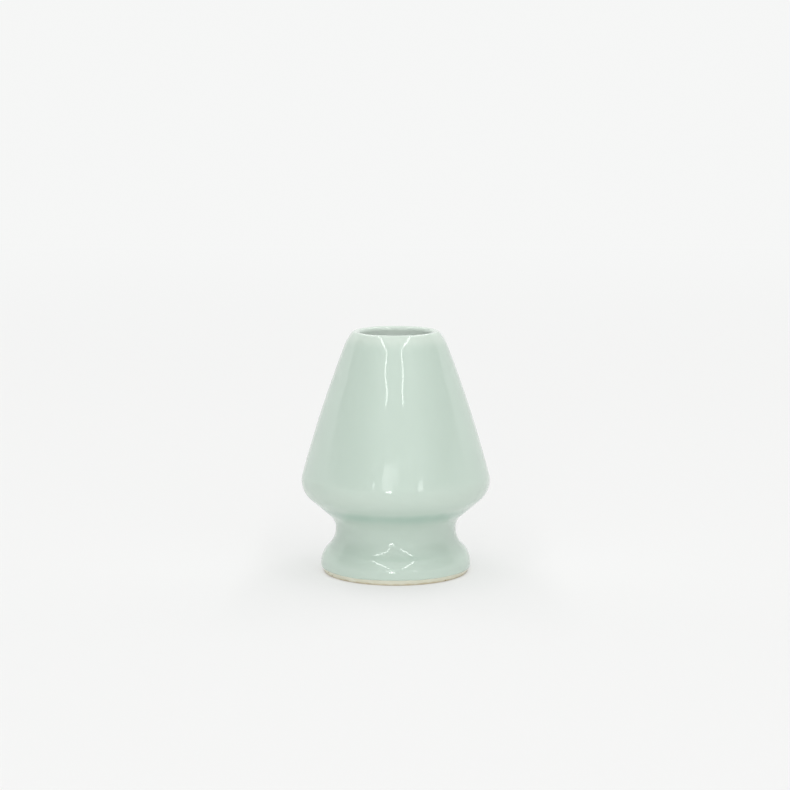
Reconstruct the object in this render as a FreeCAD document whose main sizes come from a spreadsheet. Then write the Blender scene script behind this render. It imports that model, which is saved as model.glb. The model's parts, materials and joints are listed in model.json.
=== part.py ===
import FreeCAD, Part

import math
import os

import Sketcher

# Stand that a matcha whisk dries and keeps its shape on: one hollow clay body, open at both
# ends, with a poured glaze lining and a dipped glaze coat. Millimetres, +Z up, origin at the
# centre of the ring that the foot rests on. Each piece is an outline turned about the axis.

OUTPUT_FOLDER = "parts"
SHEET_NAME = "Sizes"
FULL_TURN = 360.0
ARC_CENTRE = 3  # Sketcher's number for an arc's centre
ROOT_POINT = (-1, 1)  # and for the sketch's origin
FLAT_AXIS = -1  # and for its horizontal axis
NEAR = 0.01  # how close an edge lies to the circle it is looked up by

# alias, value, meaning. Radii of the form are from the axis, heights from the ground, and both
# are of the glazed surface.
SIZES = (
    ("overall_height", 77.1, "ground to the crest of the lip"),
    ("shoulder_radius", 30.0, "widest point of the form"),
    ("shoulder_height", 29.4, "height of the widest point"),
    ("shoulder_round", 7.4, "rounding from the cone to the underside"),
    ("cone_bow", 400.0, "slight outward bow of the cone"),
    ("lip_sweep", 15.0, "gentle rounding where the cone reaches the lip"),
    ("lip_sweep_height", 67.2, "height of that rounding's centre"),
    ("lip_round", 1.4, "crest of the lip"),
    ("mouth_radius", 11.4, "hole that the whisk's inner tines stand in"),
    ("mouth_land", 3.0, "straight wall under the lip"),
    ("underside_lean", 49.4, "underside of the shoulder, degrees from upright"),
    ("neck_round", 5.9, "rounding from that slope to the neck"),
    ("neck_radius", 19.15, "narrowest point, above the foot"),
    ("neck_height", 13.7, "height where the neck starts to flare to the foot"),
    ("foot_radius", 23.9, "widest point of the foot"),
    ("foot_height", 3.0, "height of the foot's widest point"),
    ("foot_round", 6.7, "bulge of the foot"),
    ("wall", 3.4, "cast wall with both glazes, at the shoulder and the neck"),
    ("ledge_round", 1.0, "edge under the mouth's straight wall"),
    ("throat_round", 2.0, "hollow between that edge and the cavity's cone"),
    ("cavity_taper", 17.5, "cavity's cone, degrees from upright"),
    ("waist_round", 9.0, "rounding from the cavity's underside to its neck"),
    ("flare_round", 12.0, "cavity's flare from the neck to the foot"),
    ("sole_round", 3.0, "turn from the flare to the foot's straight inside wall"),
    ("sole_radius", 19.6, "opening under the foot"),
    ("glaze_depth", 0.4, "thickness of each glaze"),
    ("coat_edge", 1.5, "height where the outside glaze is wiped off"),
    ("lining_edge", 2.5, "height where the inside glaze is wiped off"),
    ("bead", 0.25, "rounded edge of a glaze"),
    ("foot_break", 0.4, "rubbed edges of the bare foot ring"),
)
VALUES = {alias: value for alias, value, _ in SIZES}

LAND_FOOT = "overall_height - lip_round - mouth_land"


# ---- the sheet of sizes


def make_sheet(doc):
    sheet = doc.addObject("Spreadsheet::Sheet", SHEET_NAME)
    for row, (alias, value, meaning) in enumerate(SIZES, start=1):
        sheet.set(f"A{row}", alias)
        sheet.set(f"B{row}", str(value))
        sheet.set(f"C{row}", meaning)
        sheet.setAlias(f"B{row}", alias)
    doc.recompute()
    return sheet


def expression(formula, unit="mm"):
    """A formula of aliases, written as FreeCAD needs it."""
    words = [f"{SHEET_NAME}.{word}" if word in VALUES else word for word in formula.split()]
    return f"({' '.join(words)}) * 1 {unit}"


def number(formula):
    """The value of a formula of aliases and numbers, joined by + and -."""
    total, sign = 0.0, 1.0
    for word in formula.split():
        if word in "+-":
            sign = 1.0 if word == "+" else -1.0
        else:
            total += sign * (VALUES[word] if word in VALUES else float(word))
    return total


# ---- points of the outlines, each a pair: distance from the axis, and height


def polar(centre, radius, degrees):
    """The point at that angle on the circle about centre."""
    turn = math.radians(degrees)
    return (centre[0] + radius * math.cos(turn), centre[1] + radius * math.sin(turn))


def bearing(start, end):
    """The direction from start to end, in degrees from the outward horizontal."""
    return math.degrees(math.atan2(end[1] - start[1], end[0] - start[0]))


def meeting_point(first, first_radius, second, second_radius):
    """Where circles about two points cross, on the left of the way from first to second."""
    span = math.dist(first, second)
    along = (first_radius**2 - second_radius**2 + span**2) / (2 * span)
    aside = math.sqrt(first_radius**2 - along**2)
    step = ((second[0] - first[0]) / span, (second[1] - first[1]) / span)
    return (
        first[0] + along * step[0] - aside * step[1],
        first[1] + along * step[1] + aside * step[0],
    )


def corner_centre(wall, radius, touch, lean):
    """The centre of the arc that meets an upright wall, and the slope down from touch."""
    turn = math.radians(lean)
    inset = wall + radius - touch[0]
    drop = (radius - inset * math.cos(turn)) / math.sin(turn)
    return (wall + radius, touch[1] - drop)


def crossing_on_line(start, degrees, centre, radius):
    """Where the line from start in that direction first enters the circle about centre."""
    way = (math.cos(math.radians(degrees)), math.sin(math.radians(degrees)))
    gap = (start[0] - centre[0], start[1] - centre[1])
    nearest = gap[0] * way[0] + gap[1] * way[1]
    travel = -nearest - math.sqrt(nearest**2 - gap[0] ** 2 - gap[1] ** 2 + radius**2)
    return (start[0] + travel * way[0], start[1] + travel * way[1])


# ---- drawing in a sketch


class Outline:
    """Edges in a sketch. Each is added near its place, and constraints then hold it there."""

    def __init__(self, sketch):
        self.sketch = sketch
        self.tail = None

    def hold(self, kind, *where):
        return self.sketch.addConstraint(Sketcher.Constraint(kind, *where))

    def bind(self, kind, *where, formula, unit="mm"):
        """A dimension that follows the sheet."""
        size = math.radians(number(formula)) if unit == "deg" else number(formula)
        index = self.hold(kind, *where, size)
        self.sketch.setExpression(f"Constraints[{index}]", expression(formula, unit))

    def _append(self, edge, head, tail):
        """Runs the edge on smoothly from the edge before it, if there is one."""
        if self.tail:
            self.hold("Tangent", *self.tail, edge, head)
        self.tail = (edge, tail)
        return edge

    def line(self, start, end):
        ends = [FreeCAD.Vector(*point, 0) for point in (start, end)]
        edge = self.sketch.addGeometry(Part.LineSegment(*ends), False)
        return self._append(edge, 1, 2)

    def arc(self, centre, radius, start, end):
        """An arc from the angle start to the angle end, either way round."""
        circle = Part.Circle(FreeCAD.Vector(*centre, 0), FreeCAD.Vector(0, 0, 1), radius)
        angles = sorted((math.radians(start), math.radians(end)))
        edge = self.sketch.addGeometry(Part.ArcOfCircle(circle, *angles), False)
        return self._append(edge, *((1, 2) if start < end else (2, 1)))

    def bridge(self, first, second):
        """A straight edge between two points, each an edge and the number of its end."""
        ends = [self.sketch.getPoint(*point) for point in (first, second)]
        edge = self.sketch.addGeometry(Part.LineSegment(*ends), False)
        self.hold("Coincident", *first, edge, 1)
        self.hold("Coincident", edge, 2, *second)

    def radius(self, edge, formula):
        self.bind("Radius", edge, formula=formula)

    def angle(self, edge, formula):
        self.bind("Angle", edge, formula=formula, unit="deg")

    def across(self, edge, point, formula):
        """How far an edge's point lies from the axis."""
        self.bind("DistanceX", *ROOT_POINT, edge, point, formula=formula)

    def rise(self, edge, point, formula):
        """How high an edge's point lies, or on the ground where there is no formula."""
        if formula:
            self.bind("DistanceY", *ROOT_POINT, edge, point, formula=formula)
        else:
            self.hold("PointOnObject", edge, point, FLAT_AXIS)


def draw_outside(outline, depth="", start=""):
    """The outside, from the foot up, over the lip and down the mouth's straight wall. It lies
    depth under the glazed surface, and starts at the height start, or on the ground."""
    less, more = (f" - {depth}", f" + {depth}") if depth else ("", "")
    deep = number(depth)

    # where each edge lies, from the same sizes that the constraints hold it to
    foot = (number("foot_radius - foot_round"), number("foot_height"))
    foot_round = number("foot_round" + less)
    inset = number("neck_radius") - foot[0]
    climb = number("neck_height") - foot[1]
    bulge = number("foot_round")
    flare_round = (inset**2 + climb**2 - bulge**2) / (2 * (bulge - inset))
    flare = (number("neck_radius") + flare_round, number("neck_height"))
    neck_wall = number("neck_radius" + less)
    lean = number("underside_lean")
    shoulder = (number("shoulder_radius - shoulder_round"), number("shoulder_height"))
    shoulder_round = number("shoulder_round" + less)
    neck_round = number("neck_round" + more)
    neck = corner_centre(neck_wall, neck_round, polar(shoulder, shoulder_round, -lean), lean)
    crest = (number("mouth_radius + lip_round"), number("overall_height - lip_round"))
    reach = number("lip_sweep - lip_round")
    sweep_height = number("lip_sweep_height")
    sweep = (crest[0] - math.sqrt(reach**2 - (crest[1] - sweep_height) ** 2), sweep_height)
    bow = meeting_point(
        shoulder, number("cone_bow - shoulder_round"), sweep, number("cone_bow - lip_sweep")
    )
    foot_start = math.degrees(math.asin((number(start) - foot[1]) / foot_round))
    foot_end = bearing(foot, flare)
    mouth_wall = number("mouth_radius" + more)

    edge = outline.arc(foot, foot_round, foot_start, foot_end)
    head = (edge, 1)
    outline.radius(edge, "foot_round" + less)
    outline.across(edge, ARC_CENTRE, "foot_radius - foot_round")
    outline.rise(edge, ARC_CENTRE, "foot_height")
    outline.rise(edge, 1, start)

    edge = outline.arc(flare, flare_round + deep, foot_end + 180, 180)
    outline.rise(edge, ARC_CENTRE, "neck_height")

    edge = outline.line((neck_wall, flare[1]), (neck_wall, neck[1]))
    outline.hold("Vertical", edge)
    outline.across(edge, 1, "neck_radius" + less)

    edge = outline.arc(neck, neck_round, 180, 180 - lean)
    outline.radius(edge, "neck_round" + more)

    edge = outline.line(
        polar(neck, neck_round, 180 - lean), polar(shoulder, shoulder_round, -lean)
    )
    outline.angle(edge, "90 - underside_lean")

    edge = outline.arc(shoulder, shoulder_round, -lean, bearing(bow, shoulder))
    outline.radius(edge, "shoulder_round" + less)
    outline.across(edge, ARC_CENTRE, "shoulder_radius - shoulder_round")
    outline.rise(edge, ARC_CENTRE, "shoulder_height")

    edge = outline.arc(
        bow, number("cone_bow" + less), bearing(bow, shoulder), bearing(bow, sweep)
    )
    outline.radius(edge, "cone_bow" + less)

    edge = outline.arc(
        sweep, number("lip_sweep" + less), bearing(bow, sweep), bearing(sweep, crest)
    )
    outline.radius(edge, "lip_sweep" + less)
    outline.rise(edge, ARC_CENTRE, "lip_sweep_height")

    edge = outline.arc(crest, number("lip_round" + less), bearing(sweep, crest), 180)
    outline.radius(edge, "lip_round" + less)
    outline.rise(edge, ARC_CENTRE, "overall_height - lip_round")

    edge = outline.line((mouth_wall, crest[1]), (mouth_wall, number(LAND_FOOT)))
    outline.hold("Vertical", edge)
    outline.across(edge, 1, "mouth_radius" + more)
    outline.rise(edge, 2, LAND_FOOT)
    return head, (edge, 2)


def draw_inside(outline, depth="", end=""):
    """The cavity, from under the mouth's straight wall down to the height end, or the ground.
    It lies depth under the glazed surface, and goes on from an edge drawn before, if any."""
    less, more = (f" - {depth}", f" + {depth}") if depth else ("", "")
    goes_on = outline.tail is not None

    # where each edge lies, from the same sizes that the constraints hold it to
    ledge = (number("mouth_radius + ledge_round"), number(LAND_FOOT))
    shoulder = (number("shoulder_radius - shoulder_round"), number("shoulder_height"))
    taper = number("cavity_taper")
    lean = number("underside_lean")
    shoulder_round = number("shoulder_round - wall" + more)
    cone_foot = polar(shoulder, shoulder_round, taper)
    throat_round = number("throat_round" + more)
    throat = crossing_on_line(
        polar(cone_foot, throat_round, taper + 180),
        taper + 90,
        ledge,
        number("ledge_round + throat_round"),
    )
    neck_wall = number("neck_radius - wall" + more)
    waist_round = number("waist_round" + less)
    slope_head = polar(shoulder, shoulder_round, -lean)
    waist = corner_centre(neck_wall, waist_round, slope_head, lean)
    flare_round = number("flare_round" + less)
    flare = (neck_wall + flare_round, number("neck_height"))
    sole_round = number("sole_round" + more)
    sole_wall = number("sole_radius" + more)
    sole_centre = sole_wall - sole_round
    fall = math.sqrt((flare_round + sole_round) ** 2 - (flare[0] - sole_centre) ** 2)
    sole = (sole_centre, flare[1] - fall)
    ledge_end = bearing(ledge, throat) + FULL_TURN
    flare_end = bearing(flare, sole) + FULL_TURN

    edge = outline.arc(ledge, number("ledge_round" + less), 180, ledge_end)
    head = (edge, 1)
    outline.radius(edge, "ledge_round" + less)
    if not goes_on:
        outline.across(edge, 1, "mouth_radius" + more)
        outline.rise(edge, 1, LAND_FOOT)
        outline.rise(edge, ARC_CENTRE, LAND_FOOT)

    edge = outline.arc(throat, throat_round, ledge_end - 180, taper)
    outline.radius(edge, "throat_round" + more)

    edge = outline.line(polar(throat, throat_round, taper), cone_foot)
    outline.angle(edge, "cavity_taper - 90")

    edge = outline.arc(shoulder, shoulder_round, taper, -lean)
    outline.radius(edge, "shoulder_round - wall" + more)
    outline.across(edge, ARC_CENTRE, "shoulder_radius - shoulder_round")
    outline.rise(edge, ARC_CENTRE, "shoulder_height")

    edge = outline.line(slope_head, polar(waist, waist_round, 180 - lean))
    outline.angle(edge, "0 - 90 - underside_lean")

    edge = outline.arc(waist, waist_round, 180 - lean, 180)
    outline.radius(edge, "waist_round" + less)

    edge = outline.line((neck_wall, waist[1]), (neck_wall, flare[1]))
    outline.hold("Vertical", edge)
    outline.across(edge, 1, "neck_radius - wall" + more)

    edge = outline.arc(flare, flare_round, 180, flare_end)
    outline.radius(edge, "flare_round" + less)
    outline.rise(edge, ARC_CENTRE, "neck_height")

    edge = outline.arc(sole, sole_round, flare_end - 180, 0)
    outline.radius(edge, "sole_round" + more)

    edge = outline.line((sole_wall, sole[1]), (sole_wall, number(end)))
    outline.hold("Vertical", edge)
    outline.across(edge, 1, "sole_radius" + more)
    outline.rise(edge, 2, end)
    return head, (edge, 2)


# ---- bodies


def new_body(doc, label):
    body = doc.addObject("PartDesign::Body", label)
    body.Label = label
    body.Placement = FreeCAD.Placement()
    return body


def new_outline(body):
    """A sketch on the upright plane through the axis: its x is the distance from the axis."""
    planes = {plane.Role: plane for plane in body.Origin.OriginFeatures}
    sketch = body.newObject("Sketcher::SketchObject", f"{body.Label}_outline")
    sketch.AttachmentSupport = [(planes["XZ_Plane"], "")]
    sketch.MapMode = "FlatFace"
    return Outline(sketch)


def turn(doc, body, outline):
    """Turns a closed outline about the axis."""
    shape = body.newObject("PartDesign::Revolution", f"{body.Label}_turned")
    shape.Profile = outline.sketch
    shape.ReferenceAxis = (outline.sketch, ["V_Axis"])
    shape.Angle = FULL_TURN
    body.Tip = shape
    doc.recompute()
    return shape


def round_circles(doc, body, base, circles, formula):
    """Rounds the edges of base that are circles about the axis, each a radius and a height."""
    names = []
    for index, edge in enumerate(base.Shape.Edges, start=1):
        curve = edge.Curve
        if isinstance(curve, Part.Circle) and any(
            abs(curve.Radius - radius) < NEAR and abs(curve.Center.z - height) < NEAR
            for radius, height in circles
        ):
            names.append(f"Edge{index}")
    if len(names) != len(circles):
        raise RuntimeError(f"{body.Label}: {len(names)} of {len(circles)} edges found")
    fillet = body.newObject("PartDesign::Fillet", f"{body.Label}_rounded")
    fillet.Base = (base, names)
    fillet.Radius = number(formula)
    fillet.setExpression("Radius", expression(formula))
    body.Tip = fillet
    doc.recompute()


def foot_arc_radius(depth, height):
    """How far the foot's bulge lies from the axis at a height, depth under its glaze."""
    bulge = number("foot_round") - number(depth)
    rise = height - number("foot_height")
    return number("foot_radius - foot_round") + math.sqrt(bulge**2 - rise**2)


def make_clay_body(doc):
    """The cast clay: the outside and the cavity, both under their glazes, joined by the ring
    that stands on the ground."""
    body = new_body(doc, "clay_body")
    outline = new_outline(body)
    head, _ = draw_outside(outline, depth="glaze_depth")
    _, tail = draw_inside(outline, depth="glaze_depth")
    outline.bridge(tail, head)
    shape = turn(doc, body, outline)
    ring = (
        (foot_arc_radius("glaze_depth", 0.0), 0.0),
        (number("sole_radius + glaze_depth"), 0.0),
    )
    round_circles(doc, body, shape, ring, "foot_break")
    return body


def make_outer_glaze(doc):
    """The coat: the outside twice, once at the clay, from its wiped edge to the mouth."""
    body = new_body(doc, "outer_glaze")
    outline = new_outline(body)
    skin = draw_outside(outline, start="coat_edge")
    outline.tail = None
    back = draw_outside(outline, depth="glaze_depth", start="coat_edge")
    outline.bridge(skin[1], back[1])
    outline.bridge(back[0], skin[0])
    shape = turn(doc, body, outline)
    edge_height = number("coat_edge")
    edge = (foot_arc_radius("", edge_height), edge_height)
    round_circles(doc, body, shape, (edge,), "bead")
    return body


def make_lining_glaze(doc):
    """The lining: the cavity twice, once at the clay, from the mouth to its wiped edge."""
    body = new_body(doc, "lining_glaze")
    outline = new_outline(body)
    skin = draw_inside(outline, end="lining_edge")
    outline.tail = None
    back = draw_inside(outline, depth="glaze_depth", end="lining_edge")
    outline.bridge(skin[1], back[1])
    outline.bridge(back[0], skin[0])
    shape = turn(doc, body, outline)
    edge = (number("sole_radius"), number("lining_edge"))
    round_circles(doc, body, shape, (edge,), "bead")
    return body


# ---- checks and files


def check(doc, bodies):
    for item in doc.Objects:
        bad = {"Invalid", "Error"} & set(item.State)
        if bad:
            raise RuntimeError(f"{item.Label}: {', '.join(sorted(bad))}")
    for body in bodies:
        shape = body.Shape
        if shape.isNull() or not shape.isValid() or len(shape.Solids) != 1:
            raise RuntimeError(f"{body.Label} is not one valid solid")


def export(bodies):
    os.makedirs(OUTPUT_FOLDER, exist_ok=True)
    for body in bodies:
        body.Shape.exportStep(os.path.join(OUTPUT_FOLDER, f"{body.Label}.step"))
        box = body.Shape.optimalBoundingBox(False, False)
        print(
            f"{body.Label}: {body.Shape.Volume:.0f} mm3, across {box.XLength:.2f} mm,",
            f"from {box.ZMin:.2f} to {box.ZMax:.2f} mm",
        )


def main():
    doc = FreeCAD.newDocument("WhiskStand")
    make_sheet(doc)
    bodies = [make_clay_body(doc), make_outer_glaze(doc), make_lining_glaze(doc)]
    doc.recompute()
    check(doc, bodies)
    export(bodies)


main()
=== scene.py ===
import json
import math

import bpy
import numpy as np
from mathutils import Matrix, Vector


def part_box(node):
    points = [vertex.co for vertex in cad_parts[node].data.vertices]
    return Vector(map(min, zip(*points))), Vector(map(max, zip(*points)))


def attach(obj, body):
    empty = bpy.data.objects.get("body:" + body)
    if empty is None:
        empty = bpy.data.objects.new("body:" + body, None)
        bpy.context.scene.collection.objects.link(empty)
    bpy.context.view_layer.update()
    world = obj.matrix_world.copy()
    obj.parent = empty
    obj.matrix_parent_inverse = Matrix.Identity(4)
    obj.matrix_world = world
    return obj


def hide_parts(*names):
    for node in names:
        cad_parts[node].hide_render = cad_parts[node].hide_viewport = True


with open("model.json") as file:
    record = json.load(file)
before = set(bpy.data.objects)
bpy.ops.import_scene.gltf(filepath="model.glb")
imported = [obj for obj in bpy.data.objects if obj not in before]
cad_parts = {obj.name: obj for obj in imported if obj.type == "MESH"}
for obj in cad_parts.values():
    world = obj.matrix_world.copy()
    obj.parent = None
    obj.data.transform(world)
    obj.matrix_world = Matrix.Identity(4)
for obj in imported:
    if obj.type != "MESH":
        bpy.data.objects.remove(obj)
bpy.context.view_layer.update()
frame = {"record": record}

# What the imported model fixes: how far each piece reaches, the glaze's thickness and the mouth.
coatLow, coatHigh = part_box("outer_glaze")
liningLow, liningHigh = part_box("lining_glaze")
clayLow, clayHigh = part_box("clay_body")
mouth = next(mount for mount in frame["record"]["mounts"] if mount["name"] == "mouth")
topHeight = coatHigh.z
shoulderRadius = coatHigh.x
glazeDepth = coatHigh.x - clayHigh.x
mouthRadius = mouth["dims"]["r_mm"] / 1000
landFoot = liningHigh.z  # where the mouth's straight wall ends and the two glazes meet

# The outline of the glazed pot, in metres and degrees.
form = {
    "shoulderHeight": 0.0294,
    "shoulderRound": 0.0074,
    "coneBow": 0.400,
    "lipSweep": 0.0150,
    "lipSweepHeight": 0.0672,
    "lipRound": 0.0014,
    "undersideLean": 49.4,
    "neckRound": 0.0059,
    "neckRadius": 0.01915,
    "neckHeight": 0.0137,
    "footRadius": 0.0239,
    "footHeight": 0.0030,
    "footRound": 0.0067,
    "wall": 0.0034,
    "ledgeRound": 0.0010,
    "throatRound": 0.0020,
    "cavityTaper": 17.5,
    "waistRound": 0.0090,
    "flareRound": 0.0120,
    "soleRound": 0.0030,
    "soleRadius": 0.0196,
    "footBreak": 0.0004,
    "spacing": 0.0001,  # between the points that its arcs and lines are drawn with
}


def polar(centre, radius, degrees):
    # the point at that angle on the circle about centre
    turn = math.radians(degrees)
    return (centre[0] + radius * math.cos(turn), centre[1] + radius * math.sin(turn))


def bearing(start, end):
    # the direction from start to end, in degrees from straight out
    return math.degrees(math.atan2(end[1] - start[1], end[0] - start[0]))


def meetingPoint(first, firstRadius, second, secondRadius):
    # where circles about two points cross, on the left of the way from first to second
    span = math.dist(first, second)
    along = (firstRadius**2 - secondRadius**2 + span**2) / (2 * span)
    aside = math.sqrt(firstRadius**2 - along**2)
    step = ((second[0] - first[0]) / span, (second[1] - first[1]) / span)
    return (
        first[0] + along * step[0] - aside * step[1],
        first[1] + along * step[1] + aside * step[0],
    )


def cornerCentre(wall, radius, touch, lean):
    # the centre of the arc between an upright wall and the slope that comes down from touch
    turn = math.radians(lean)
    drop = (radius - (wall + radius - touch[0]) * math.cos(turn)) / math.sin(turn)
    return (wall + radius, touch[1] - drop)


def arc(centre, radius, start, end):
    # Points centre + radius * (cos a, sin a), at most 1 degree apart, as a runs from start to
    # end. The clay is on the left of the way, so the normal is +(cos a, sin a) going up in a.
    turn = abs(math.radians(end - start))
    count = 2 + int(max(turn * radius / form["spacing"], math.degrees(turn)))
    angles = np.radians(np.linspace(start, end, count))
    ray = np.stack((np.cos(angles), np.sin(angles)), axis=1)
    return np.array(centre) + radius * ray, math.copysign(1, end - start) * ray


def straight(start, end):
    # evenly spaced points from start to end, with the normal on the right of the way
    way = np.subtract(end, start)
    length = np.hypot(*way)
    steps = np.linspace(0, 1, 2 + int(length / form["spacing"]))[:, None]
    normal = np.array((way[1], -way[0])) / length
    return np.array(start) + steps * way, np.tile(normal, (len(steps), 1))


def joined(*runs, depth=0.0):
    # One run from several: how far along each point is, the points, and their normals. All lie
    # depth under the surface.
    points = np.concatenate([points - depth * normals for points, normals in runs])
    normals = np.concatenate([normals for _, normals in runs])
    steps = np.hypot(*np.diff(points, axis=0).T)
    fresh = np.concatenate(([True], steps > 1e-9))
    along = np.concatenate(([0.0], np.cumsum(steps)))
    return along[fresh], points[fresh], normals[fresh]


shoulder = (shoulderRadius - form["shoulderRound"], form["shoulderHeight"])
foot = (form["footRadius"] - form["footRound"], form["footHeight"])


def outsideRuns(footStart):
    # the glazed surface from the angle footStart on the foot's bulge up to the mouth's land
    inset = form["neckRadius"] - foot[0]
    climb = form["neckHeight"] - foot[1]
    bulge = form["footRound"]
    flareRound = (inset**2 + climb**2 - bulge**2) / (2 * (bulge - inset))
    flare = (form["neckRadius"] + flareRound, form["neckHeight"])
    lean = form["undersideLean"]
    slopeTop = polar(shoulder, form["shoulderRound"], -lean)
    neck = cornerCentre(form["neckRadius"], form["neckRound"], slopeTop, lean)
    crest = (mouthRadius + form["lipRound"], topHeight - form["lipRound"])
    reach = form["lipSweep"] - form["lipRound"]
    rise = crest[1] - form["lipSweepHeight"]
    sweep = (crest[0] - math.sqrt(reach**2 - rise**2), form["lipSweepHeight"])
    bow = meetingPoint(
        shoulder, form["coneBow"] - form["shoulderRound"], sweep, form["coneBow"] - form["lipSweep"]
    )
    footEnd = bearing(foot, flare)
    coneStart, coneEnd = bearing(bow, shoulder), bearing(bow, sweep)
    return (
        arc(foot, form["footRound"], footStart, footEnd),
        arc(flare, flareRound, footEnd + 180, 180),
        straight((form["neckRadius"], flare[1]), (form["neckRadius"], neck[1])),
        arc(neck, form["neckRound"], 180, 180 - lean),
        straight(polar(neck, form["neckRound"], 180 - lean), slopeTop),
        arc(shoulder, form["shoulderRound"], -lean, coneStart),
        arc(bow, form["coneBow"], coneStart, coneEnd),
        arc(sweep, form["lipSweep"], coneEnd, bearing(sweep, crest)),
        arc(crest, form["lipRound"], bearing(sweep, crest), 180),
        straight((mouthRadius, crest[1]), (mouthRadius, landFoot)),
    )


def insideRuns(end):
    # the glazed cavity from under the mouth's land down to the height end
    ledge = (mouthRadius + form["ledgeRound"], landFoot)
    taper, lean = form["cavityTaper"], form["undersideLean"]
    inner = form["shoulderRound"] - form["wall"]
    coneFoot = polar(shoulder, inner, taper)
    # the throat's centre is on a line beside the cone, at the two roundings' reach from the ledge
    lineFoot = polar(coneFoot, form["throatRound"], taper + 180)
    way = polar((0, 0), 1, taper + 90)
    gap = (lineFoot[0] - ledge[0], lineFoot[1] - ledge[1])
    nearest = gap[0] * way[0] + gap[1] * way[1]
    reach = form["ledgeRound"] + form["throatRound"]
    travel = -nearest - math.sqrt(nearest**2 - gap[0] ** 2 - gap[1] ** 2 + reach**2)
    throat = (lineFoot[0] + travel * way[0], lineFoot[1] + travel * way[1])
    neckWall = form["neckRadius"] - form["wall"]
    slopeTop = polar(shoulder, inner, -lean)
    waist = cornerCentre(neckWall, form["waistRound"], slopeTop, lean)
    flare = (neckWall + form["flareRound"], form["neckHeight"])
    soleSide = form["soleRadius"] - form["soleRound"]
    span = form["flareRound"] + form["soleRound"]
    sole = (soleSide, flare[1] - math.sqrt(span**2 - (flare[0] - soleSide) ** 2))
    ledgeEnd = bearing(ledge, throat) + 360
    flareEnd = bearing(flare, sole) + 360
    return (
        arc(ledge, form["ledgeRound"], 180, ledgeEnd),
        arc(throat, form["throatRound"], ledgeEnd - 180, taper),
        straight(polar(throat, form["throatRound"], taper), coneFoot),
        arc(shoulder, inner, taper, -lean),
        straight(slopeTop, polar(waist, form["waistRound"], 180 - lean)),
        arc(waist, form["waistRound"], 180 - lean, 180),
        straight((neckWall, waist[1]), (neckWall, flare[1])),
        arc(flare, form["flareRound"], 180, flareEnd),
        arc(sole, form["soleRound"], flareEnd - 180, 0),
        straight((form["soleRadius"], sole[1]), (form["soleRadius"], end)),
    )


def footRuns():
    # the bare ring: its inner rubbed edge, the flat that stands on the ground, its outer edge
    rub = form["footBreak"]
    bulge = form["footRound"] - glazeDepth - rub
    innerEdge = (form["soleRadius"] + glazeDepth + rub, rub)
    outerEdge = (foot[0] + math.sqrt(bulge**2 - (foot[1] - rub) ** 2), rub)
    return (
        arc(innerEdge, rub, 180, 270),
        straight((innerEdge[0], 0.0), (outerEdge[0], 0.0)),
        arc(outerEdge, rub, 270, bearing(foot, outerEdge) + 360),
    )


def spread(run, count, turnWeight=0.006):
    # count places along a run, closer together where it turns: equal steps of the length plus
    # turnWeight metres for each radian of turning
    along, _, normals = run
    turning = np.arcsin(np.clip(np.cross(normals[:-1], normals[1:]), -1, 1))
    effort = np.concatenate(([0.0], np.cumsum(np.diff(along) + turnWeight * np.abs(turning))))
    return np.interp(np.linspace(0, effort[-1], count), effort, along)


def sample(run, places):
    # distance from the axis, height, and the normal's two parts at any array of places
    along, points, normals = run
    columns = np.concatenate((points, normals), axis=1).T
    return [np.interp(places, along, column) for column in columns]


# How far the pot strays from its template, in metres.
stray = {
    "outOfRound": 0.00008,
    "ripple": 0.000011,
    "waves": 30,
    "shortestWave": 0.007,
    "longestWave": 0.026,
    "seed": 11,
    "columns": 352,
}
azimuth = np.linspace(0, 2 * np.pi, stray["columns"], endpoint=False)[:, None]


def outOfRound(turn, height):
    # a slow swell of the radius: two and three waves round, sliding with the height
    share = height / topHeight
    oval = np.cos(2 * turn + 0.8 + 1.3 * share) * (0.5 + 0.5 * share)
    trefoil = 0.45 * np.sin(3 * turn - 2.1 * share)
    return stray["outOfRound"] * (oval + trefoil)


def ripple(turn, places):
    # The glaze's uneven surface: many faint waves of the angle and the way along the outline.
    # Waves run a whole number of times round, and longer ones are higher.
    dice = np.random.default_rng(stray["seed"])
    spreadOfWaves = stray["longestWave"] / stray["shortestWave"]
    total = np.zeros(np.broadcast(turn, places).shape)
    for wave in range(stray["waves"]):
        length = stray["shortestWave"] * spreadOfWaves ** dice.random()
        heading = dice.uniform(0, np.pi)
        around = round(2 * np.pi * shoulderRadius * math.cos(heading) / length)
        upward = 2 * np.pi * math.sin(heading) / length
        height = length / stray["longestWave"]
        total += height * np.sin(around * turn + upward * places + dice.uniform(0, 2 * np.pi))
    return stray["ripple"] * total


def turned(radius, height, angle):
    # points at those distances from the axis, heights and angles
    radius, height, angle = np.broadcast_arrays(radius, height, angle)
    return np.stack((radius * np.sin(angle), -radius * np.cos(angle), height), axis=-1)


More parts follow.
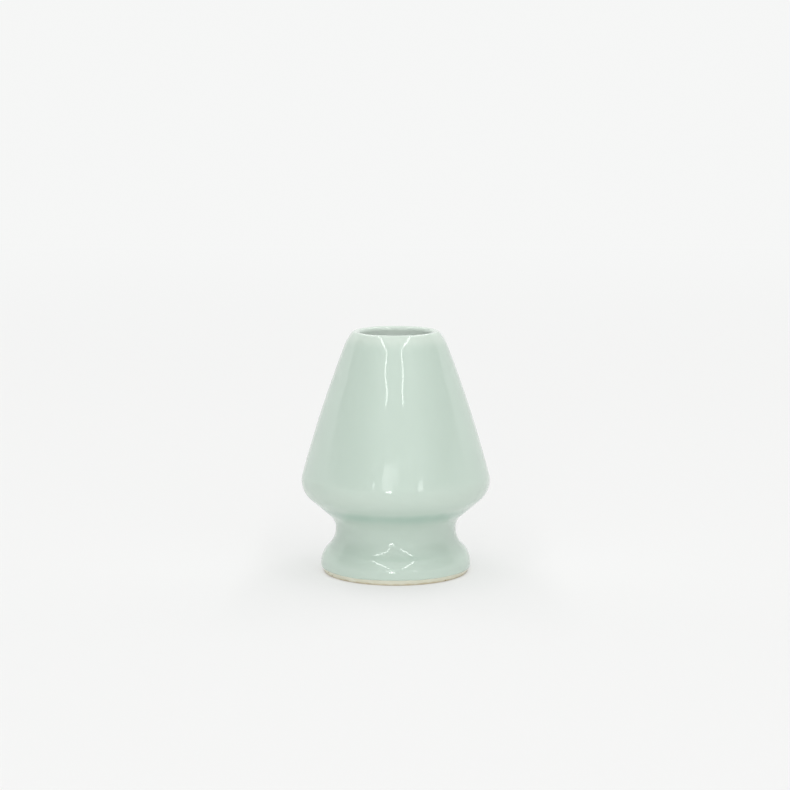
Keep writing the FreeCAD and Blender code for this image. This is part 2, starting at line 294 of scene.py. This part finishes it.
def ringMesh(name, points, attributes):
    # A closed shell from a grid of points (angle, place in the loop, xyz): both ways round, each
    # four neighbours make a face, so it has no seam, pole or rim.
    columns, rows = points.shape[:2]
    index = np.arange(columns * rows).reshape(columns, rows)
    after, above = np.roll(index, -1, axis=0), np.roll(index, -1, axis=1)
    corners = np.stack((index, after, np.roll(after, -1, axis=1), above), axis=-1).reshape(-1, 4)
    mesh = bpy.data.meshes.new(name)
    mesh.vertices.add(columns * rows)
    mesh.vertices.foreach_set("co", points.astype(np.float32).ravel())
    mesh.loops.add(corners.size)
    mesh.loops.foreach_set("vertex_index", corners.astype(np.int32).ravel())
    mesh.polygons.add(len(corners))
    mesh.polygons.foreach_set("loop_start", np.arange(0, corners.size, 4, dtype=np.int32))
    mesh.update(calc_edges=True)
    mesh.validate()
    for label, values in attributes.items():
        layer = mesh.attributes.new(label, "FLOAT", "POINT")
        grid = np.broadcast_to(values, (columns, rows)).astype(np.float32)
        layer.data.foreach_set("value", grid.ravel())
    mesh.shade_smooth()
    mesh.set_sharp_from_angle(angle=math.radians(50))  # only a glaze's cut edges turn this fast
    piece = bpy.data.objects.new(name, mesh)
    bpy.context.scene.collection.objects.link(piece)
    return piece


# What both glazes have in common. Lengths are in metres.
glaze = {
    "hollowReach": 0.006,  # it feels how the outline turns over this length either way
    "hollowTurn": 0.0040,  # the radius of a hollow that it begins to fill
    "edgeRows": 13,  # extra rows in the first share of the skin, bunched towards the wiped edge
    "edgeShare": 0.012,
    "edgeBunching": 1.6,
    "leastSagAndShade": 0.35,  # how much sags where it cannot lie, against 1 on an upward surface; on the foot's upward shelf this darkening is partly painted shade
    "lipThinning": 2.2,  # how much thinner it is at the mouth's straight wall
    "lipReach": 0.0023,
    "settleReach": 0.002,  # where the two glazes meet, each is plain over this length
    "edgeFade": 0.0009,  # the paler margin above the wiped edge
}

# The dipped coat outside.
coat = {
    "skinRows": 190,
    "backRows": 60,
    "edgeWave": 0.00022,  # how far the wiped edge wanders up and down
    "edgeRound": 0.00045,  # the length over which it rounds off
    "edgeRoll": 0.00010,  # the swell where the glaze gathers just above it
    "rollWidth": 0.0006,
    "pooling": 0.00007,  # how much thicker it is in the neck
    "hollows": 0.30,  # how much of that thickness shows in the colour
    "paintedShade": 0.74,  # painted shade: a dark band under the shoulder's overhang, at a height and over a width
    "paintedShadeHeight": 0.0213,
    "paintedShadeWidth": 0.0029,
    "sagAndShade": 3.0,  # how far it has run down and gathered at the foot, most where it can lie; partly real pooling, partly painted shade on the foot's shelf under the shoulder
    "sagAndShadeHeight": 0.0044,
}


def edgeWave(turn, size):
    # the wiped edge's height against its mean: a slow wander and a finer tremble, each a sum of
    # sines that run a whole number of times round
    slow = np.sin(turn + 2.2) + 0.6 * np.sin(3 * turn + 0.4) + 0.35 * np.sin(7 * turn + 1.9)
    fine = 0.16 * np.sin(17 * turn + 0.3) + 0.10 * np.sin(29 * turn + 2.6)
    return size * (slow + fine) / 1.6


def pooled(run, places):
    # How thick the glaze lies, from -1 on a sharp bulge to 1 in a tight hollow: minus tanh of the
    # outline's turning per metre times hollowTurn, averaged under a raised cosine that ends at
    # hollowReach.
    reach = glaze["hollowReach"]
    along, _, normals = run
    turning = np.arcsin(np.clip(np.cross(normals[:-1], normals[1:]), -1, 1))
    even = np.arange(-reach, along[-1] + reach, form["spacing"])
    total = np.interp(even, along, np.concatenate(([0.0], np.cumsum(turning))))
    window = np.hanning(2 * int(reach / form["spacing"]) + 1)
    mean = np.convolve(np.gradient(total, form["spacing"]), window / window.sum(), "same")
    return -np.tanh(np.interp(places, even, mean) * glaze["hollowTurn"])


def glazeShell(name, run, low, values, footAtStart):
    # A skin and a back over one run, from the wiped edge at the height low to where the glazes
    # meet. The skin is out at depth 0, the back in at glazeDepth, and near the wiped edge the skin
    # falls to the back along a quarter ellipse: depth * (1 - sqrt(1 - (1 - x / round)^2)).
    # The colour's thickness is that of the hollows, plus what sagged at the foot, exp(-height / the
    # sag's height), which is also painted shade on the foot's upward shelf, plus painted shade
    # under the shoulder, a bell curve about its height, less what ran off the mouth's straight
    # wall.
    along, points, _ = run
    heights = points[:, 1] if footAtStart else points[::-1, 1]
    marks = along if footAtStart else along[::-1]
    lowest = len(heights) // 4  # the run climbs steadily over its first quarter
    edgeMark = np.interp(low, heights[:lowest], marks[:lowest])
    meetMark = marks[-1]
    base = spread(run, values["skinRows"])
    share = (base - base[0]) / (base[-1] - base[0])
    share = share if footAtStart else 1 - share[::-1]
    bunch = np.linspace(0, 1, glaze["edgeRows"], endpoint=False) ** glaze["edgeBunching"]
    crowd = np.concatenate((bunch * glaze["edgeShare"], share[share > glaze["edgeShare"]]))
    sign = 1 if footAtStart else -1
    start = edgeMark + sign * edgeWave(azimuth, values["edgeWave"])
    skinPlaces = start + (meetMark - start) * crowd
    backShare = np.linspace(0, 1, values["backRows"])
    backPlaces = start + (meetMark - start) * backShare
    fromEdge = np.abs(skinPlaces - start)
    fall = glazeDepth * (1 - np.sqrt(1 - np.clip(1 - fromEdge / values["edgeRound"], 0, 1) ** 2))
    fromRoll = (fromEdge - values["rollWidth"]) / values["rollWidth"]
    roll = values["edgeRoll"] * np.exp(-(fromRoll**2))
    radius, height, outward, upward = sample(run, skinPlaces)
    thick = pooled(run, skinPlaces)
    lift = values["pooling"] * thick + roll + ripple(azimuth, skinPlaces)
    # the foot's darkening: partly glaze gathered there, partly painted shade on its upward shelf
    # under the shoulder
    lie = glaze["leastSagAndShade"] + (1 - glaze["leastSagAndShade"]) * np.clip(upward, 0, 1)
    sagShade = lie * np.exp(-height / values["sagAndShadeHeight"])
    # painted shade: a dark band in the colour under the shoulder's overhang
    shadeBand = np.exp(-(((height - values["paintedShadeHeight"]) / values["paintedShadeWidth"]) ** 2))
    thick = np.where(thick > 0, values["hollows"] * thick, thick)
    thick = thick + values["sagAndShade"] * sagShade + values["paintedShade"] * shadeBand
    fromMeeting = np.abs(meetMark - skinPlaces)
    thick = thick - glaze["lipThinning"] * np.exp(-fromMeeting / glaze["lipReach"])
    settle = np.clip(fromMeeting / glaze["settleReach"], 0, 1)
    lift = lift * settle * settle * (3 - 2 * settle)
    skin = turned(
        radius + (lift - fall) * outward + outOfRound(azimuth, height),
        height + (lift - fall) * upward,
        azimuth,
    )
    radius, height, outward, upward = sample(run, backPlaces)
    back = turned(
        radius - glazeDepth * outward + outOfRound(azimuth, height),
        height - glazeDepth * upward,
        azimuth,
    )
    loop = np.concatenate((skin, back[:, ::-1]), axis=1)
    loop = loop if footAtStart else loop[:, ::-1]
    # the colour's thickness, which carries painted shade under the shoulder and on the foot
    pooling = np.concatenate((thick, np.zeros(backPlaces.shape)), axis=1)
    edge = np.concatenate((fromEdge, np.abs(backPlaces - start)[:, ::-1]), axis=1)
    nearEdge = np.exp(-edge / glaze["edgeFade"])
    if not footAtStart:
        pooling, nearEdge = pooling[:, ::-1], nearEdge[:, ::-1]
    return ringMesh(name, loop, {"pooling": pooling, "nearEdge": nearEdge})


outsideRun = joined(*outsideRuns(-25))  # from just under the wiped edge, on the foot's bulge
insideRun = joined(*insideRuns(0.0))
outerGlaze = glazeShell("outerGlaze", outsideRun, coatLow.z, coat, True)
print("outer glaze", len(outerGlaze.data.polygons), "faces")

# The poured lining.
lining = {
    "skinRows": 150,
    "backRows": 50,
    "edgeWave": 0.00030,
    "edgeRound": 0.00045,
    "edgeRoll": 0.00012,
    "rollWidth": 0.0007,
    "pooling": 0.00005,
    "hollows": 1.0,
    "paintedShade": 0.0,
    "paintedShadeHeight": 0.0205,
    "paintedShadeWidth": 0.0022,
    "sagAndShade": 1.3,
    "sagAndShadeHeight": 0.006,
}
liningGlaze = glazeShell("liningGlaze", insideRun, liningLow.z, lining, False)
print("lining glaze", len(liningGlaze.data.polygons), "faces")

# The clay wall under both glazes.
clay = {"rows": 230, "contactShadeReach": 0.0005}  # how far up from the ground the bare ring is darkened by the painted contact shadow


def clayWall():
    # the outline at the clay all the way round: up the outside, over the lip, down, and the ring
    ring = footRuns()
    bareStart = bearing(foot, ring[2][0][-1])
    outer = joined(*outsideRuns(bareStart), depth=glazeDepth)
    inner = joined(*insideRuns(form["footBreak"]), depth=glazeDepth)
    loop = joined(outer[1:], inner[1:], *ring)
    places = spread(loop, clay["rows"])[:-1]
    radius, height, _, _ = sample(loop, places)
    points = turned(radius + outOfRound(azimuth, height), height, azimuth)
    # the painted contact shadow's mask: 1 at the ground, fading out over half a millimetre up
    return ringMesh("clayWall", points, {"contactShaded": np.exp(-height / clay["contactShadeReach"])[None]})


clayBody = clayWall()
print("clay", len(clayBody.data.polygons), "faces")


class Wire:
    # A value in a material's node tree. Arithmetic with it, from either side, adds Math nodes.
    def __init__(self, tree, socket=None):
        self.tree = tree
        self.socket = socket

    def node(self, kind, settings, sockets, output=0):
        # adds a node of that kind: first its settings, then its sockets, from wires or constants
        node = self.tree.nodes.new(kind)
        for name, value in settings.items():
            setattr(node, name, value)
        for name, value in sockets.items():
            if isinstance(value, Wire):
                self.tree.links.new(value.socket, node.inputs[name])
            else:
                node.inputs[name].default_value = value
        return Wire(self.tree, node.outputs[output] if node.outputs else None)

    def math(self, operation, *values):
        return self.node("ShaderNodeMath", {"operation": operation}, dict(enumerate(values)))

    def __add__(self, other):
        return self.math("ADD", self, other)

    def __radd__(self, other):
        return self.math("ADD", other, self)

    def __sub__(self, other):
        return self.math("SUBTRACT", self, other)

    def __rsub__(self, other):
        return self.math("SUBTRACT", other, self)

    def __mul__(self, other):
        return self.math("MULTIPLY", self, other)

    def __rmul__(self, other):
        return self.math("MULTIPLY", other, self)

    def step(self, low, high):
        # 0 up to low, 1 from high on, and a smooth rise between them
        settings = {"interpolation_type": "SMOOTHSTEP"}
        return self.node("ShaderNodeMapRange", settings, {0: self, 1: low, 2: high})

    def blend(self, first, second):
        # the colour first where this is 0, second where it is 1
        return self.node("ShaderNodeMix", {"data_type": "RGBA"}, {0: self, 6: first, 7: second}, 2)

    def noise(self, scale, detail=2.0, roughness=0.5):
        # fractal noise about 0.5 at the object's own coordinates, with scale cells to a metre
        place = self.node("ShaderNodeTexCoord", {}, {}, 3)
        sockets = {"Vector": place, "Scale": scale, "Detail": detail, "Roughness": roughness}
        return self.node("ShaderNodeTexNoise", {}, sockets)

    def specks(self, cells, size, share):
        # 1 at the middle of that share of the cells and 0 elsewhere, with cells to a metre, and
        # size the speck's radius in cells
        place = self.node("ShaderNodeTexCoord", {}, {}, 3)
        sockets = {"Vector": place, "Scale": cells}
        distance = self.node("ShaderNodeTexVoronoi", {}, sockets)
        lot = self.node("ShaderNodeTexVoronoi", {}, sockets, 1)
        chosen = self.math("LESS_THAN", self.node("ShaderNodeSeparateColor", {}, {0: lot}), share)
        return (1.0 - distance.step(size * 0.4, size)) * chosen

    def attribute(self, name):
        return self.node("ShaderNodeAttribute", {"attribute_name": name}, {}, 2)

    def bump(self, height, distance):
        # the normal of a surface that rises by height times distance
        return self.node("ShaderNodeBump", {}, {"Height": height, "Distance": distance})


def newMaterial(name):
    material = bpy.data.materials.new(name)
    material.use_nodes = True
    material.node_tree.nodes.clear()
    return material, Wire(material.node_tree)


# Celadon over pale stoneware: near white where the glaze runs thin, blue-green where it gathers,
# and darker where shade is painted under the shoulder and on the foot.
celadon = {
    "faint": (0.71, 0.79, 0.725, 1),
    "thin": (0.61, 0.70, 0.625, 1),
    "even": (0.555, 0.66, 0.585, 1),
    # the deepest glaze colour, also used for the painted shade under the shoulder and on the foot
    "deep": (0.40, 0.545, 0.47, 1),
    "clouding": 0.30,
    "gloss": 0.045,
}
liningColours = {
    "faint": (0.74, 0.80, 0.74, 1),
    "thin": (0.64, 0.72, 0.64, 1),
    "even": (0.55, 0.655, 0.58, 1),
    "deep": (0.39, 0.53, 0.455, 1),
    "clouding": 0.40,
    "gloss": 0.06,
}
melt = {
    "clouds": 55,  # cells to a metre
    "mottle": 260,
    "mottleShare": 0.4,
    "deepFrom": 0.30,  # the thickness where each colour begins, and where it is full
    "deepFull": 1.0,
    "thinFrom": 0.1,
    "thinFull": 0.9,
    "faintFull": 1.8,
    "marginFrom": 0.45,
    "glossCells": 120,
    "glossSpread": 0.02,
    "skinCells": 900,
    "skinHeight": 0.0000015,
    "refraction": 1.5,
    "scatter": 0.2,
    "scatterDepth": 0.0006,
}


def glazeMaterial(name, values):
    # The colour goes faint, thin, even, deep with the pooling, which also carries painted shade
    # under the shoulder and on the foot, and clouds drift over it.
    # The wiped edge is thin again. A fine unevenness is in the bump and the gloss.
    material, start = newMaterial(name)
    mottle = melt["mottleShare"] * start.noise(melt["mottle"], 2)
    clouds = start.noise(melt["clouds"], 3, 0.55) + mottle - (1 + melt["mottleShare"]) / 2
    # the pooling attribute also carries painted shade under the shoulder and on the foot
    depth = start.attribute("pooling") + values["clouding"] * clouds
    lack = 0.0 - depth
    colour = depth.step(melt["deepFrom"], melt["deepFull"]).blend(values["even"], values["deep"])
    colour = lack.step(melt["thinFrom"], melt["thinFull"]).blend(colour, values["thin"])
    colour = lack.step(melt["thinFull"], melt["faintFull"]).blend(colour, values["faint"])
    margin = start.attribute("nearEdge").step(melt["marginFrom"], 1.0)
    colour = margin.blend(colour, values["thin"])
    shader = start.node(
        "ShaderNodeBsdfPrincipled",
        {},
        {
            "Base Color": colour,
            "Roughness": values["gloss"] + melt["glossSpread"] * start.noise(melt["glossCells"], 2),
            "IOR": melt["refraction"],
            "Subsurface Weight": melt["scatter"],
            "Subsurface Radius": (1.0, 1.0, 1.0),
            "Subsurface Scale": melt["scatterDepth"],
            "Normal": start.bump(start.noise(melt["skinCells"], 2), melt["skinHeight"]),
        },
    )
    start.node("ShaderNodeOutputMaterial", {}, {"Surface": shader})
    return material


# The bare foot ring: buff, slightly sandy, with a patchy brown painted contact shadow where it
# meets the ground.
stoneware = {
    "body": (0.73, 0.72, 0.585, 1),
    "pale": (0.78, 0.78, 0.66, 1),
    # the colour of the painted contact shadow at the ground
    "contactShade": (0.60, 0.52, 0.36, 1),
    "iron": (0.22, 0.14, 0.08, 1),
    "patchCells": 180,
    "contactShadeCells": 400,
    "speckCells": 900,
    "speckSize": 0.3,
    "speckShare": 0.05,
    "grainCells": 2600,
    "grainHeight": 0.00012,
}


def stonewareMaterial():
    # patches of two buffs, a painted contact shadow at the ground edge, a few iron specks and sandy
    # grains
    material, start = newMaterial("bareStoneware")
    patches = start.noise(stoneware["patchCells"], 4, 0.6)
    colour = patches.step(0.35, 0.65).blend(stoneware["body"], stoneware["pale"])
    # painted contact shadow: a patchy brown darkening of the lowest half millimetre, where the ring
    # meets the ground
    contactShaded = start.attribute("contactShaded") * start.noise(stoneware["contactShadeCells"], 3)
    colour = contactShaded.step(0.05, 0.45).blend(colour, stoneware["contactShade"])
    specks = start.specks(stoneware["speckCells"], stoneware["speckSize"], stoneware["speckShare"])
    colour = specks.blend(colour, stoneware["iron"])
    grains = start.noise(stoneware["grainCells"], 3, 0.65)
    shader = start.node(
        "ShaderNodeBsdfPrincipled",
        {},
        {
            "Base Color": colour,
            "Roughness": 0.78 + 0.15 * grains,
            "IOR": 1.45,
            "Specular IOR Level": 0.3,
            "Normal": start.bump(grains, stoneware["grainHeight"]),
        },
    )
    start.node("ShaderNodeOutputMaterial", {}, {"Surface": shader})
    return material


for piece, material, node, slot in (
    (outerGlaze, glazeMaterial("celadonGlaze", celadon), "outer_glaze", "celadon_glaze"),
    (liningGlaze, glazeMaterial("liningGlaze", liningColours), "lining_glaze", "lining_glaze"),
    (clayBody, stonewareMaterial(), "clay_body", "bare_stoneware"),
):
    piece.data.materials.append(material)
    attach(piece, "root")
    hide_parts(node)
print("materials done")

# The table: a pale sheet of frosted plastic that curves up behind the pot, and is lit through.
table = {
    "front": -25.0,
    "bend": 1.3,
    "bendRadius": 0.9,
    "top": 2.6,
    "halfWidth": 25.0,
    "colour": (0.79, 0.79, 0.785, 1),
    "glow": (0.92, 0.925, 0.92, 1),
    "glowNear": 0.45,  # the share of its light that comes through it in front; all from glowFull on
    "glowStart": 0.3,
    "glowFull": 1.2,
    "paintedShadowReach": 0.0245,  # painted contact shadow: the sheet's glow fades out in a ring around the pot's foot
    "paintedShadowSoft": 0.003,
}


def tableSheet():
    # the profile is flat, then a quarter circle, then upright, and it is carried along x
    quarter = np.radians(np.linspace(-90, 0, 49))
    bend, radius = table["bend"], table["bendRadius"]
    away = np.concatenate(([table["front"]], bend + radius * np.cos(quarter), [bend + radius]))
    height = np.concatenate(([0.0], radius + radius * np.sin(quarter), [table["top"]]))
    across = np.linspace(-table["halfWidth"], table["halfWidth"], 9)[:, None]
    points = np.stack(np.broadcast_arrays(across, away, height), axis=-1)
    index = np.arange(points[..., 0].size).reshape(points.shape[:2])
    faces = np.stack((index[:-1, :-1], index[1:, :-1], index[1:, 1:], index[:-1, 1:]), axis=-1)
    mesh = bpy.data.meshes.new("tableSheet")
    mesh.from_pydata(points.reshape(-1, 3), [], faces.reshape(-1, 4).tolist())
    mesh.shade_smooth()
    sheet = bpy.data.objects.new("tableSheet", mesh)
    bpy.context.scene.collection.objects.link(sheet)
    material, start = newMaterial("frostedSheet")
    place = start.node("ShaderNodeTexCoord", {}, {}, 3)
    away = start.node("ShaderNodeSeparateXYZ", {}, {0: place}, 1)
    frosted = start.node("ShaderNodeBsdfDiffuse", {}, {"Color": table["colour"]})
    glow = start.node("ShaderNodeEmission", {}, {"Color": table["glow"]})
    fromAxis = start.node("ShaderNodeVectorMath", {"operation": "LENGTH"}, {0: place}, 1)
    farther = away.step(table["glowStart"], table["glowFull"])
    share = table["glowNear"] + (1 - table["glowNear"]) * farther
    # painted contact shadow: no glow within a ring just around the foot
    share = share * fromAxis.step(table["paintedShadowReach"] - table["paintedShadowSoft"], table["paintedShadowReach"])
    shader = start.node("ShaderNodeMixShader", {}, {0: share, 1: frosted, 2: glow})
    start.node("ShaderNodeOutputMaterial", {}, {"Surface": shader})
    mesh.materials.append(material)
    return sheet


tableSheet()

# Light: a pale room that is dimmer at both sides, two tubes along the ceiling, and a window
# behind the camera. The room's places are parts of a direction's unit vector, sideways or up.
room = {
    "bright": 1.20,
    "dim": 0.02,
    "middle": 0.06,  # sideways
    "start": 0.33,
    "full": 0.90,
    "skirting": 1.12,  # how bright the sides stay close above the table
    "skirtingTop": 0.14,  # up
    "dimFrom": 0.30,
}
# Lengths are in metres. Angles are in degrees: sideways from straight in front of the pot, and
# up from the table.
tubes = {
    "height": 1.5,
    "width": 0.12,
    "radiance": 7.2,
    "ends": {  # the near end and the far end
        "leftTube": ((-0.675, -2.62), (-0.69, 1.6)),
        "rightTube": ((0.53, -2.68), (0.70, 1.6)),
    },
}
panes = {
    "distance": 2.0,
    "lights": {  # left, right, bottom, top, radiance
        "window": (-17, -3.5, 14, 20.2, 2.0),
        "windowTop": (-15.5, 3, 20.2, 22.2, 1.7),
        "windowSide": (-14, 20, 22.2, 23.8, 0.9),
        "sill": (-12.5, -4.2, 7, 13, 12.0),
        "sideWindow": (28, 33.5, 12.5, 19.3, 3.2),
        "lamp": (-28, -25.5, 17.5, 18.6, 3.5),
    },
}


def softLight(name, place, turn, width, length, radiance):
    # a glowing rectangle, whose power is radiance * pi * area
    light = bpy.data.lights.new(name, "AREA")
    light.shape = "RECTANGLE"
    light.size = width
    light.size_y = length
    light.energy = radiance * math.pi * width * length
    lamp = bpy.data.objects.new(name, light)
    lamp.location = place
    lamp.rotation_euler = turn
    bpy.context.scene.collection.objects.link(lamp)


def paneLight(name, left, right, bottom, top, radiance):
    # a rectangle in front of the pot that fills those angles and faces the pot
    far = panes["distance"]
    sideways, up = math.radians((left + right) / 2), math.radians((bottom + top) / 2)
    place = (
        far * math.cos(up) * math.sin(sideways),
        -far * math.cos(up) * math.cos(sideways),
        far * math.sin(up),
    )
    width = 2 * far * math.tan(math.radians(right - left) / 2)
    length = 2 * far * math.tan(math.radians(top - bottom) / 2)
    softLight(name, place, (math.pi / 2 - up, 0, sideways), width, length, radiance)


for name, (near, far) in tubes["ends"].items():
    place = ((near[0] + far[0]) / 2, (near[1] + far[1]) / 2, tubes["height"])
    turn = math.atan2(near[0] - far[0], far[1] - near[1])
    softLight(name, place, (0, 0, turn), tubes["width"], math.dist(near, far), tubes["radiance"])
for name, angles in panes["lights"].items():
    paneLight(name, *angles)


def paleRoom():
    # The light from a direction is bright less a smooth step sideways times a fall, which is to
    # the skirting's light close above the table and to dim higher up.
    world = bpy.data.worlds.new("paleRoom")
    world.use_nodes = True
    world.node_tree.nodes.clear()
    start = Wire(world.node_tree)
    direction = start.node("ShaderNodeTexCoord", {}, {})
    sideways = start.node("ShaderNodeSeparateXYZ", {}, {0: direction})
    upward = start.node("ShaderNodeSeparateXYZ", {}, {0: direction}, 2)
    aside = start.math("ABSOLUTE", sideways - room["middle"]).step(room["start"], room["full"])
    fall = upward.step(room["skirtingTop"], room["dimFrom"]) * (room["skirting"] - room["dim"])
    strength = room["bright"] - aside * (room["bright"] - room["skirting"] + fall)
    sky = start.node("ShaderNodeBackground", {}, {"Strength": strength})
    start.node("ShaderNodeOutputWorld", {}, {"Surface": sky})
    return world


bpy.context.scene.world = paleRoom()
bpy.context.scene.view_settings.view_transform = "Standard"

# The camera's place in metres, its tilt in degrees, its lens and sensor in millimetres.
eye = {
    "aside": -0.00027,
    "back": 0.7491,
    "height": 0.1678,
    "downward": 8.45,
    "lens": 108.98,
    "sensor": 36.0,
}
camera = bpy.data.cameras.new("camera")
camera.lens = eye["lens"]
camera.sensor_width = eye["sensor"]
camera.clip_start = 0.01
cameraObject = bpy.data.objects.new("camera", camera)
cameraObject.location = (eye["aside"], -eye["back"], eye["height"])
cameraObject.rotation_euler = (math.radians(90 - eye["downward"]), 0, 0)
bpy.context.scene.collection.objects.link(cameraObject)
bpy.context.scene.camera = cameraObject
print("light and camera done")
